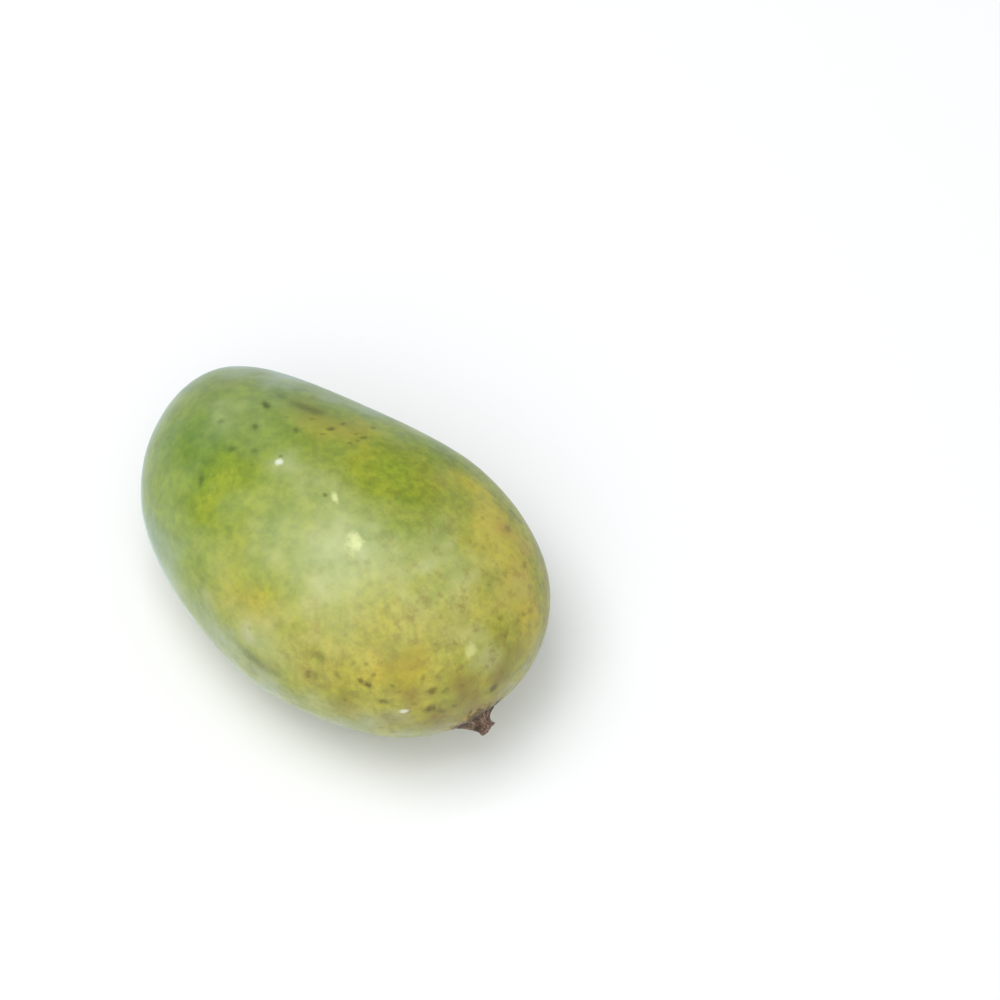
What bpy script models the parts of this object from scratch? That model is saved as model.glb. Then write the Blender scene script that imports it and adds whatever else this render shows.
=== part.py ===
"""A whole mango, picked, lying on its flatter cheek with the stub of its stalk still on.

Lengths are in metres. The fruit's long axis is X, with the stalk end at +X and the nose at -X.
Seen from above, its straighter edge is at +Y and its rounder one at -Y. Z is up, and the
fruit rests on a small flat spot at Z = 0. The fruit is one solid. The woody stalk stub is
another, and its peg sits in a socket in the fruit.
"""

import math

import bmesh
import bpy
import numpy as np
from mathutils import Matrix, Vector
from mathutils.bvhtree import BVHTree

MM = 0.001

# The fruit's size
LENGTH = 128.0 * MM
WIDTH = 86.4 * MM
THICKNESS = 73.4 * MM
SPOT_DEPTH = 1.2 * MM

# Where it is broadest, from the middle towards the stalk: seen from above, and from the side
BROADEST_X = 11.3 * MM
THICKEST_X = 3.0 * MM

# How it closes towards each end: a gentle power of the distance, and a steep one at the tip
NOSE_TAPER = 1.47
STALK_TAPER = 1.83
TIP_TAPER = 6
TIP_SHARE = 0.18

# How far the long axis strays sideways: both ends towards +Y, and an S between them
END_BEND = 3.9 * MM
S_BEND = 7.0 * MM

# Low relief of the skin: broad unevenness, the beak with its hollow, and the stalk's seat
WAVE_HEIGHT = 0.22 * MM
BEAK_HEIGHT = 1.0 * MM
BEAK_SPREAD = 4.5 * MM
HOLLOW_DEPTH = 0.7 * MM
HOLLOW_SPREAD = 9.0 * MM
SEAT_DEPTH = 0.5 * MM
SEAT_SPREAD = 7.5 * MM
PUCKER_DEPTH = 0.35 * MM
PUCKER_RING = 8.5 * MM
PUCKER_WIDTH = 3.0 * MM
PUCKERS = 7

# Places on the skin: the angle from the nose tip, and the angle around the long axis
STALK_PLACE = (math.radians(164.6), math.radians(232.9))
BEAK_PLACE = (math.radians(10.0), math.radians(330.0))
HOLLOW_PLACE = (math.radians(27.0), math.radians(338.0))

# The stalk stub, square to the skin and leaning towards +Y
STALK_AXIS = Vector((0.927, -0.192, -0.321)).normalized()
STALK_HEIGHT = 4.3 * MM
STALK_LEAN = 1.8 * MM
FOOT_RADIUS = 5.7 * MM
TIP_RADIUS = 2.15 * MM
FLARE_POWER = 2.3
FOOT_EDGE = 0.5 * MM
BREAK_SLANT = 0.75 * MM
BREAK_JAG = 0.25 * MM
BREAK_HOLLOW = 0.5 * MM
PEG_RADIUS = 1.9 * MM
PEG_DEPTH = 3.0 * MM
GAP = 0.3 * MM

# Facets
FRUIT_AROUND = 72
FRUIT_ALONG = 46
STALK_AROUND = 48
STALK_RINGS = 12
SOCKET_AROUND = 24

# Finishes: base colour, roughness, metallic
SKIN_FINISH = ("mango_skin", (0.42, 0.48, 0.13, 1.0), 0.42, 0.0)
BARK_FINISH = ("stalk_bark", (0.16, 0.11, 0.075, 1.0), 0.85, 0.0)


def clear_scene():
    """Removes the objects that a new scene starts with."""
    for obj in list(bpy.data.objects):
        bpy.data.objects.remove(obj, do_unlink=True)


def finish_of(name, colour, roughness, metallic):
    """A plain Principled material."""
    material = bpy.data.materials.new(name)
    material.use_nodes = True
    shader = material.node_tree.nodes["Principled BSDF"]
    shader.inputs["Base Color"].default_value = colour
    shader.inputs["Roughness"].default_value = roughness
    shader.inputs["Metallic"].default_value = metallic
    material.diffuse_color = colour
    return material


def new_object(name, mesh, finish):
    """Links a mesh as a named, smooth-shaded object with its finish."""
    obj = bpy.data.objects.new(name, mesh)
    bpy.context.scene.collection.objects.link(obj)
    mesh.materials.append(finish)
    mesh.shade_smooth()
    return obj


def closing(x, broadest_x, half_length):
    """Share of the full half-width left at x: the root of 1 - (1 - k) d**taper - k d**6,
    where d is the distance from the broadest place as a share of the way to that tip."""
    to_nose = np.clip((broadest_x - x) / (broadest_x + half_length), 0, 1)
    to_stalk = np.clip((x - broadest_x) / (half_length - broadest_x), 0, 1)
    d = np.maximum(to_nose, to_stalk)
    taper = np.where(x < broadest_x, NOSE_TAPER, STALK_TAPER)
    return np.sqrt(np.clip(1 - (1 - TIP_SHARE) * d**taper - TIP_SHARE * d**TIP_TAPER, 0, 1))


def plain_skin(turn, around):
    """Points of the skin without its relief. turn runs from 0 at the nose tip to pi at the
    stalk end, and around is the angle from +Y over the top."""
    half = LENGTH / 2
    x = -half * np.cos(turn)
    share = x / half
    middle_y = END_BEND * np.abs(share) ** 3 + S_BEND * share * (1 - share**2)
    y = middle_y + WIDTH / 2 * closing(x, BROADEST_X, half) * np.cos(around)
    z = THICKNESS / 2 * closing(x, THICKEST_X, half) * np.sin(around)
    return np.stack([x, y, z], axis=-1)


def outward(points):
    """Unit vectors out of the skin, as on the ellipsoid of the fruit's size."""
    out = points / np.array([LENGTH / 2, WIDTH / 2, THICKNESS / 2]) ** 2
    return out / np.linalg.norm(out, axis=-1, keepdims=True)


def mound(points, place, spread):
    """A round mound of height 1 about a place on the skin, falling off as exp(-(d/spread)**2)."""
    distance = np.linalg.norm(points - plain_skin(*place), axis=-1)
    return np.exp(-((distance / spread) ** 2))


def stalk_frame():
    """The stalk's seat on the plain skin, its lean direction, the direction across, its axis."""
    lean = Vector((0, 1, 0))
    lean = (lean - lean.dot(STALK_AXIS) * STALK_AXIS).normalized()
    return Vector(plain_skin(*STALK_PLACE)), lean, STALK_AXIS.cross(lean), STALK_AXIS


def seat_relief(points):
    """The shallow seat round the stalk, with grooves that run out from it like a drawn bag."""
    seat, lean, across, _ = (np.array(v) for v in stalk_frame())
    offset = points - seat
    distance = np.linalg.norm(offset, axis=-1)
    bearing = np.arctan2(offset @ across, offset @ lean)
    ring = np.exp(-(((distance - PUCKER_RING) / PUCKER_WIDTH) ** 2))
    groove = (0.5 + 0.5 * np.cos(PUCKERS * bearing + np.sin(2 * bearing))) ** 2
    return -SEAT_DEPTH * np.exp(-((distance / SEAT_SPREAD) ** 2)) - PUCKER_DEPTH * ring * groove


def relief(points):
    """Height of the real skin over the plain one."""
    x, y, z = (points / (LENGTH / 2)).transpose()
    waves = np.sin(5.1 * x + 2.3 * y + 1.0) * np.cos(4.4 * z - 1.7 * x)
    waves = waves + 0.6 * np.sin(7.9 * y - 3.1 * z + 0.5) * np.cos(6.3 * x + 2.0 * z)
    return (
        WAVE_HEIGHT * waves
        + BEAK_HEIGHT * mound(points, BEAK_PLACE, BEAK_SPREAD)
        - HOLLOW_DEPTH * mound(points, HOLLOW_PLACE, HOLLOW_SPREAD)
        + seat_relief(points)
    )


def skin(turn, around):
    """Points of the skin with its relief, and with the flat spot that the fruit rests on."""
    points = plain_skin(turn, around)
    points = points + outward(points) * relief(points)[..., None]
    points[..., 2] = np.maximum(points[..., 2], SPOT_DEPTH - THICKNESS / 2)
    return points


def fruit_mesh():
    """A ball with its poles at the two tips, each point moved to its place on the skin."""
    ball = bmesh.new()
    bmesh.ops.create_uvsphere(
        ball, u_segments=FRUIT_AROUND, v_segments=FRUIT_ALONG, radius=1.0,
        matrix=Matrix.Rotation(math.radians(90), 4, "Y"),
    )
    unit = np.array([v.co for v in ball.verts])
    turn = np.arccos(np.clip(-unit[:, 0], -1, 1))
    around = np.arctan2(unit[:, 2], unit[:, 1])
    for vertex, place in zip(ball.verts, skin(turn, around)):
        vertex.co = place
    bmesh.ops.recalc_face_normals(ball, faces=ball.faces)
    mesh = bpy.data.meshes.new("fruit")
    ball.to_mesh(mesh)
    ball.free()
    return mesh


def socket_cutter(frame):
    """The hole that the stalk's peg sits in, a gap wider and deeper than the peg."""
    seat, lean, across, axis = frame
    reach = 2 * PEG_DEPTH
    drill = bmesh.new()
    bmesh.ops.create_cone(
        drill, cap_ends=True, segments=SOCKET_AROUND, depth=reach,
        radius1=PEG_RADIUS + GAP, radius2=PEG_RADIUS + GAP,
    )
    turn = Matrix((lean, across, axis)).transposed().to_4x4()
    bottom = seat - axis * (SEAT_DEPTH + PEG_DEPTH + GAP)
    drill.transform(Matrix.Translation(bottom + axis * reach / 2) @ turn)
    mesh = bpy.data.meshes.new("socket_cutter")
    drill.to_mesh(mesh)
    drill.free()
    cutter = bpy.data.objects.new("socket_cutter", mesh)
    bpy.context.scene.collection.objects.link(cutter)
    cutter.hide_render = True
    cutter.display_type = "WIRE"
    return cutter


def build_fruit(frame):
    """The fruit, with the socket cut where the stalk goes in."""
    fruit = new_object("fruit", fruit_mesh(), finish_of(*SKIN_FINISH))
    cut = fruit.modifiers.new("stalk_socket", "BOOLEAN")
    cut.operation = "DIFFERENCE"
    cut.solver = "EXACT"
    cut.object = socket_cutter(frame)
    return fruit


def skin_height(tree, frame, reach, bearing):
    """Height of the skin over the seat, measured along the stalk's axis."""
    seat, lean, across, axis = frame
    foot = seat + reach * (math.cos(bearing) * lean + math.sin(bearing) * across)
    hit = tree.ray_cast(foot + axis * FOOT_RADIUS, -axis)[0]
    return (hit - seat).dot(axis)


def foot_radius(bearing):
    """The foot's edge, drawn out into five blunt lobes where the flower's parts sat."""
    return FOOT_RADIUS * (1 + 0.05 * math.cos(5 * bearing + 0.6) + 0.03 * math.cos(2 * bearing))


def break_height(bearing, share):
    """Height of the broken end at a share of its radius: slanted, jagged, hollow inside."""
    slant = -BREAK_SLANT * share * math.cos(bearing)
    jag = 0.6 * math.cos(3 * bearing + 0.9) + 0.4 * math.cos(7 * bearing + 2.1)
    return STALK_HEIGHT + slant + BREAK_JAG * share**4 * jag - BREAK_HOLLOW * (1 - share**2)


def stalk_rings(tree, frame):
    """Rings of (reach, height, lean) from the peg's end, out under the foot, up the flare and
    over the broken end, each with a point for every bearing."""
    bearings = [2 * math.pi * i / STALK_AROUND for i in range(STALK_AROUND)]
    under = [PEG_RADIUS + (FOOT_RADIUS - PEG_RADIUS) * s for s in (0.0, 0.35, 0.7)]

    def above(reach, bearing, lift):
        return skin_height(tree, frame, reach, bearing) + lift

    rings = [[(PEG_RADIUS * s, -SEAT_DEPTH - PEG_DEPTH, 0.0) for _ in bearings] for s in (0.5, 1.0)]
    rings += [[(r, above(r, b, GAP), 0.0) for b in bearings] for r in under]
    rings += [
        [(foot_radius(b), above(foot_radius(b), b, GAP + lift), 0.0) for b in bearings]
        for lift in (0.0, FOOT_EDGE)
    ]
    for step in range(1, STALK_RINGS + 1):
        share = step / STALK_RINGS
        ring = []
        for bearing in bearings:
            edge = foot_radius(bearing)
            fluted = TIP_RADIUS * (1 + 0.06 * math.cos(6 * bearing + 3 * share))
            reach = fluted + (edge - fluted) * (1 - share) ** FLARE_POWER
            low = above(edge, bearing, GAP + FOOT_EDGE)
            height = low + (break_height(bearing, 1.0) - low) * share
            ring.append((reach, height, STALK_LEAN * share**1.5))
        rings.append(ring)
    for share in (0.7, 0.35):
        rings.append([(TIP_RADIUS * share, break_height(b, share), STALK_LEAN) for b in bearings])
    return bearings, rings


def build_stalk(fruit, frame):
    """The woody stub: a peg, a lobed foot that follows the skin, a flared neck and a broken end."""
    seat, lean, across, axis = frame
    tree = BVHTree.FromPolygons(
        [v.co for v in fruit.data.vertices], [tuple(p.vertices) for p in fruit.data.polygons]
    )
    bearings, rings = stalk_rings(tree, frame)
    body = bmesh.new()
    loops = []
    for ring in rings:
        loops.append([
            body.verts.new(
                seat
                + lean * (reach * math.cos(bearing) + shift)
                + across * (reach * math.sin(bearing))
                + axis * height
            )
            for bearing, (reach, height, shift) in zip(bearings, ring)
        ])
    bottom = body.verts.new(seat - axis * (SEAT_DEPTH + PEG_DEPTH))
    top = body.verts.new(seat + lean * STALK_LEAN + axis * break_height(0.0, 0.0))
    count = len(bearings)
    for i in range(count):
        j = (i + 1) % count
        body.faces.new((bottom, loops[0][j], loops[0][i]))
        body.faces.new((top, loops[-1][i], loops[-1][j]))
        for low, high in zip(loops, loops[1:]):
            body.faces.new((low[i], low[j], high[j], high[i]))
    bmesh.ops.recalc_face_normals(body, faces=body.faces)
    bmesh.ops.triangulate(body, faces=body.faces)
    mesh = bpy.data.meshes.new("stalk")
    body.to_mesh(mesh)
    body.free()
    return new_object("stalk", mesh, finish_of(*BARK_FINISH))


def stand_on_origin(pieces, helpers):
    """Moves everything so that the whole stands on Z = 0 with its box centred on the origin."""
    corners = np.array([v.co for piece in pieces for v in piece.data.vertices])
    low, high = corners.min(axis=0), corners.max(axis=0)
    shift = Vector((-(low[0] + high[0]) / 2, -(low[1] + high[1]) / 2, -low[2]))
    for obj in pieces + helpers:
        obj.location = shift


def main():
    clear_scene()
    frame = stalk_frame()
    fruit = build_fruit(frame)
    stalk = build_stalk(fruit, frame)
    stand_on_origin([fruit, stalk], [fruit.modifiers["stalk_socket"].object])


main()
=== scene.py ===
"""The look of a whole mango: waxy skin that ripens from green to yellow, with its blotches and
specks, and the woody stub of its stalk. It lies on a pale floor under soft light.

Lengths are in metres. The fruit's long axis is X, with the stalk end at +X and the nose at -X,
and Z is up. The shapes repeat the formulas of the fruit's solids, with finer relief on them, and
are fitted to the boxes of those solids.
"""

import math
from itertools import product
from typing import NamedTuple

import bpy
import numpy as np
from mathutils import Matrix, Vector


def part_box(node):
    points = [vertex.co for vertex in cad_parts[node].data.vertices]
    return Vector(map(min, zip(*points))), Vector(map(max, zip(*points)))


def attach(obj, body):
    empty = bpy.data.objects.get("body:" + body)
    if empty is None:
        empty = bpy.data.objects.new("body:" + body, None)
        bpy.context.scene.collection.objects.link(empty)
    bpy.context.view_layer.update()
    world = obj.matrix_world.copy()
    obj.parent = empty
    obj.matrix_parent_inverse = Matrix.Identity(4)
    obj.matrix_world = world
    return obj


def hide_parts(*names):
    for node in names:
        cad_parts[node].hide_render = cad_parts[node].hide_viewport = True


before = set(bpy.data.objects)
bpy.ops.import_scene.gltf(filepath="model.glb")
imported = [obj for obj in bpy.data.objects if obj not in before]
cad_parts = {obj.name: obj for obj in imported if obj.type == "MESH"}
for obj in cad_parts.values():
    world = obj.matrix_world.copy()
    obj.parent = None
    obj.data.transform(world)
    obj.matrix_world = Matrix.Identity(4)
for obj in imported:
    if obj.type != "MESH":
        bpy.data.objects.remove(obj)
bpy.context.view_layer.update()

MM = 0.001

# The fruit's form, as its solid has it
LENGTH = 128.0 * MM
WIDTH = 86.4 * MM
THICKNESS = 73.4 * MM
SPOT_DEPTH = 1.2 * MM
SPOT_HEIGHT = SPOT_DEPTH - THICKNESS / 2
BROADEST_X = 11.3 * MM
THICKEST_X = 3.0 * MM
NOSE_TAPER = 1.47
STALK_TAPER = 1.83
TIP_TAPER = 6
TIP_SHARE = 0.18
END_BEND = 3.9 * MM
S_BEND = 7.0 * MM

# Its low relief, as its solid has it
WAVE_HEIGHT = 0.22 * MM
BEAK_HEIGHT = 1.0 * MM
BEAK_SPREAD = 4.5 * MM
HOLLOW_DEPTH = 0.7 * MM
HOLLOW_SPREAD = 9.0 * MM
SEAT_DEPTH = 0.5 * MM
SEAT_SPREAD = 7.5 * MM
PUCKER_DEPTH = 0.35 * MM
PUCKER_RING = 8.5 * MM
PUCKER_WIDTH = 3.0 * MM
PUCKERS = 7

# Places on the skin: the angle from the nose tip, and the angle around the long axis
STALK_PLACE = (math.radians(164.6), math.radians(232.9))
BEAK_PLACE = (math.radians(10.0), math.radians(330.0))
HOLLOW_PLACE = (math.radians(27.0), math.radians(338.0))

# The stalk stub
STALK_AXIS = np.array((0.927, -0.192, -0.321))
STALK_HEIGHT = 4.3 * MM
STALK_LEAN = 1.8 * MM
FOOT_RADIUS = 5.7 * MM
TIP_RADIUS = 2.15 * MM
FLARE_POWER = 2.3
BREAK_SLANT = 0.75 * MM
SWELL_HEIGHT = 0.18 * MM
SWELL_SHARE = 0.93
SWELL_SPREAD = 0.08
RIM_ROUGHNESS = 0.25 * MM
SPLINTER_HEIGHT = 0.30 * MM
FLUTE_DEPTH = 0.16 * MM
END_HOLLOW = 0.8 * MM
PITH_DEPTH = 0.5 * MM
PITH_SHARE = 0.40

# Rings of its foot: the share of the foot's edge, and the rise over the skin in millimetres
FOOT_RINGS = (
    (0.4, -1.2),
    (0.8, -1.2),
    (0.97, -1.2),
    (1.0, -0.5),
    (1.01, 0.0),
    (1.0, 0.25),
    (0.975, 0.42),
)

# The corky lip of skin round the stalk's foot
LIP_HEIGHT = 1.2 * MM
LIP_RING = 6.3 * MM
LIP_INNER = 0.9 * MM
LIP_OUTER = 2.4 * MM
LIP_SIDE = math.radians(109)

# Grains of the skin and the bark, each by its size, its height and its random seed
SKIN_GRAINS = ((9 * MM, 0.10 * MM, 1), (3 * MM, 0.035 * MM, 2), (1.3 * MM, 0.012 * MM, 3))
BARK_GRAINS = ((1.6 * MM, 0.14 * MM, 15), (0.7 * MM, 0.08 * MM, 16))

# How finely the pieces are made, and the cells in a block of grain
SKIN_AROUND = 300
SKIN_ALONG = 320
STALK_AROUND = 200
NECK_RINGS = 90
END_RINGS = 26
LATTICE_CELLS = 32
TINY = 1e-9

# The view in the photograph, matched to the fruit's outline
VIEW_AZIMUTH = math.radians(46.8)
VIEW_ELEVATION = math.radians(60.0)
VIEW_DISTANCE = 0.9
FRAME_PX = 1000
FOCAL_PX = 3268.0
FRUIT_MIDDLE_PX = (331.8, 547.9)
SENSOR_MM = 36.0
SEEN_FROM = 0.05
SEEN_TO = 50.0

# How far a mark's halo may reach, in its own radii, the place that stands for beyond it, and
# how many layers share the specks out
MARK_REACH = 2.4
FAR_OUT = 10.0
SPECK_LAYERS = 4

# The side that the photograph hides: its marks, and how little of it faces the camera
HIDDEN_SPECKS = 90
HIDDEN_STAINS = 16
HIDDEN_FACING = 0.05
LEAST_FACING = 0.1

# Distances from the stalk: bare of wax, reach of cork, edge and fade of the painted shade in the
# crevice, stain
WAX_STARTS = 5 * MM
CORK_REACH = 7.5 * MM
CREVICE_EDGE = 4.6 * MM
CREVICE_FADE = 1.6 * MM
STAIN_SPREAD = 11 * MM

# Heights of the marks, the gap between pores, and the bloom of plain skin
SPECK_SINK = 0.05 * MM
FLECK_RISE = 0.30 * MM
PORE_GAP = 2.6 * MM
PLAIN_BLOOM = 0.16

# A speck's halo and core: where each starts and is full, as inside() measures it, and its share
SPECK_HALO = (-1.1, 0.5, 0.42)
SPECK_CORE = (-0.3, 0.7, 0.78)

# The floor's half size, and the surround's light: the way that is brightest, its least and most
FLOOR_HALF = 30.0
BRIGHT_WAY = (0.55, -0.82, 0.1)
SURROUND_STRENGTH = (0.50, 0.74)


class Patch(NamedTuple):
    """A soft patch on the skin: the middle in the photograph, in pixels, how far it spreads, and
    how much it adds."""

    across_px: float
    down_px: float
    spread_mm: float
    amount: float


class Mark(NamedTuple):
    """A crisp mark on the skin: the middle in the photograph, in pixels, its length and width on
    the skin, the way its length runs in the photograph in degrees up from the right, how dark
    it is, and how brown, from dark green at 0."""

    across_px: float
    down_px: float
    length_mm: float
    width_mm: float
    lean: float
    dark: float
    brown: float


def soft_patches(*rows):
    """Patches, from rows of their numbers."""
    return [Patch(*row) for row in rows]


def crisp_marks(*rows):
    """Marks, from rows of their numbers."""
    return [Mark(*row) for row in rows]


# What the skin shows, one row for each patch or mark. The numbers of a row are those of Patch
# or Mark, in their order. What a patch adds is in its table's name. The first ones were placed
# one by one. Others were added or moved where a comparison with the photograph showed a difference,
# and sizes and amounts were chosen with the measured differences in view.

RIPE_PATCHES = soft_patches(
    (200, 440, 14, -0.12),
    (430, 450, 9, -0.06),
    (455, 476, 4, 0.14),
    (165, 560, 12, -0.10),
    (232, 474, 8, 0.07),
    (205, 506, 6, 0.06),
    (240, 530, 10, 0.08),
    (320, 424, 6, 0.16),
    (350, 434, 7, 0.22),
    (375, 480, 7, 0.03),
    # Painted shade: this row darkens the upper right rim, where shade falls on it.
    (435, 440, 7, -0.12),
    (258, 398, 5, -0.10),
    (396, 471, 5, -0.08),
    (184, 501, 4, 0.08),
    (177, 431, 5, -0.10),
    (314, 436, 4, 0.08),
    (232, 594, 7, 0.20),
    (262, 608, 7, 0.20),
    (300, 640, 9, 0.14),
    (340, 670, 9, 0.12),
    (380, 625, 11, 0.14),
    (405, 685, 11, 0.19),
    (445, 625, 8, 0.14),
    (478, 490, 5, 0.20),
    (494, 515, 6, 0.34),
    (412, 613, 4, 0.12),
    (408, 660, 4, -0.10),
    (418, 468, 4, 0.06),
    (403, 449, 4, 0.12),
    (440, 481, 4, 0.12),
    (359, 420, 3, 0.12),
    (505, 550, 8, 0.30),
    (520, 590, 8, 0.20),
    (530, 630, 6, 0.12),
    (480, 600, 7, 0.12),
)

# Pale wax bloom, and painted highlight: the first three rows paint the broad highlight of the
# overhead light on the middle of the fruit.
BLOOM_AND_HIGHLIGHT_PATCHES = soft_patches(
    (334, 562, 14, 0.45),
    (385, 545, 9, 0.30),
    (420, 560, 7, 0.15),
    (386, 617, 7, -0.20),
    (525, 586, 4, 0.22),
    (497, 574, 5, 0.20),
    (452, 575, 6, 0.22),
    (418, 606, 5, 0.28),
    (492, 657, 4, 0.40),
    (217, 407, 3.5, 0.28),
    (205, 435, 6, 0.12),
    (194, 469, 4, 0.14),
    (254, 445, 4, 0.14),
    (290, 401, 3.5, 0.14),
    (337, 497, 5, 0.12),
    (362, 531, 4, 0.14),
    (440, 584, 4, 0.12),
    (341, 630, 5, 0.15),
    (314, 668, 3.5, 0.15),
    (413, 656, 4, -0.15),
    (406, 678, 5, -0.16),
    (262, 642, 4, 0.20),
    (246, 630, 6, 0.28),
    (397, 528, 5, -0.22),
    (372, 573, 4, -0.22),
    (285, 380, 5, 0.30),
    (335, 490, 4, 0.22),
    (362, 530, 4, 0.15),
    (464, 541, 4, -0.22),
    (258, 561, 4, 0.20),
    (474, 665, 3, 0.25),
    (294, 480, 6, 0.08),
    (285, 462, 4, 0.55),
    (345, 505, 5, 0.10),
    (461, 567, 4, 0.25),
    (439, 535, 5, 0.22),
    (477, 635, 4, 0.42),
    (427, 563, 4, -0.15),
    (310, 564, 4, 0.15),
    (441, 529, 4, 0.12),
    (487, 659, 3.5, 0.28),
    (522, 585, 3.5, 0.25),
    (499, 543, 3.5, 0.15),
    (429, 597, 4, 0.15),
    (449, 627, 4, 0.22),
    (267, 594, 4, -0.18),
    (308, 521, 4, -0.15),
    (168, 455, 6, 0.08),
    (236, 408, 6, 0.30),
    (165, 560, 8, 0.25),
    (240, 375, 8, 0.20),
    (455, 600, 6, 0.20),
    (390, 476, 10, -0.30),
    (195, 445, 9, -0.20),
    (222, 424, 5, 0.15),
    (232, 474, 7, -0.30),
    (205, 506, 6, -0.25),
    (260, 540, 8, -0.10),
    # Painted shade: these rows take the paleness off the right and lower rims, where they lie in
    # shade.
    (430, 445, 8, -0.40),
    (470, 475, 8, -0.30),
    (516, 510, 6, -0.20),
    (540, 580, 8, -0.20),
    (540, 640, 8, -0.20),
    (500, 690, 9, -0.25),
    (400, 715, 8, -0.20),
    (340, 700, 7, -0.15),
)

STAIN_PATCHES = soft_patches(
    (470, 697, 4.5, 0.80),
    (458, 682, 4.0, 0.50),
    (474, 678, 2.5, 0.30),
    (411, 696, 3.6, 0.85),
    (412, 659, 3.8, 0.42),
    (441, 718, 4.0, 0.90),
    (470, 713, 3.2, 0.70),
    (500, 676, 4, 0.65),
    (515, 655, 6, 0.42),
    (503, 688, 3.5, 0.25),
    (306, 399, 4, 0.22),
    (488, 640, 6, 0.06),
    (315, 411, 5, 0.45),
    (345, 425, 5, 0.22),
    (262, 664, 3.4, 0.30),
    (343, 698, 3, 0.35),
    (504, 530, 2.5, 0.35),
    (520, 575, 5, 0.25),
    (513, 604, 4, 0.16),
    (230, 382, 4, 0.20),
    (350, 712, 5, 0.30),
    (395, 722, 5, 0.35),
    (515, 690, 5, 0.30),
    (545, 620, 5, 0.25),
)

# Painted reflection and shade along the rims: pale grey-blue for the sheen of the white
# surroundings on the left, nose and top rims, and grey on the lower rim where it lies in shade.
RIM_SHEEN_AND_SHADE_PATCHES = soft_patches(
    (140, 500, 6, 0.30),
    (151, 524, 5, 0.32),
    (272, 686, 5, 0.30),
    (145, 570, 7, 0.60),
    (170, 620, 7, 0.75),
    (215, 668, 8, 0.95),
    (260, 702, 8, 0.90),
    (310, 722, 6, 0.50),
    (290, 388, 4, 0.25),
    (315, 701, 5, 0.20),
    (145, 432, 5, 0.15),
    (185, 383, 5, 0.35),
    (235, 366, 5, 0.75),
    (284, 376, 5, 0.60),
    (330, 398, 4, 0.35),
    (370, 413, 4, 0.25),
    (370, 720, 5, 0.25),
    (316, 477, 4, 0.12),
    (269, 532, 5, 0.10),
    (242, 372, 4, 0.28),
    (270, 384, 4, 0.28),
    (225, 641, 6, 0.25),
    (246, 661, 5, 0.25),
    (205, 614, 6, 0.20),
    (165, 553, 6, 0.20),
    (175, 584, 5, 0.18),
    (364, 726, 4, 0.28),
    (398, 716, 4, 0.28),
    (272, 650, 7, 0.14),
    (508, 683, 4, 0.20),
    (538, 645, 3, 0.30),
    (525, 668, 3, 0.40),
    (510, 688, 3, 0.40),
    (495, 702, 3, 0.30),
    (345, 723, 4, 0.30),
    (405, 734, 4, 0.35),
    (435, 731, 4, 0.30),
)

BLUSH_PATCHES = soft_patches(
    (505, 528, 2.6, 0.55),
    (525, 548, 2.6, 0.75),
    (520, 575, 4, 0.30),
    (536, 603, 3, 0.45),
    (530, 622, 3, 0.35),
    (330, 422, 4, 0.03),
    (250, 600, 4, 0.12),
    (309, 674, 3, 0.35),
)

GOLD_PATCHES = soft_patches(
    (460, 478, 4, 0.20),
    (478, 490, 5, 0.30),
    (496, 512, 5, 0.34),
    (502, 540, 6, 0.38),
    (512, 565, 6, 0.40),
    (525, 592, 6, 0.42),
    (534, 622, 5, 0.28),
    (411, 682, 5, 0.15),
    (330, 432, 5, 0.15),
)

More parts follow.
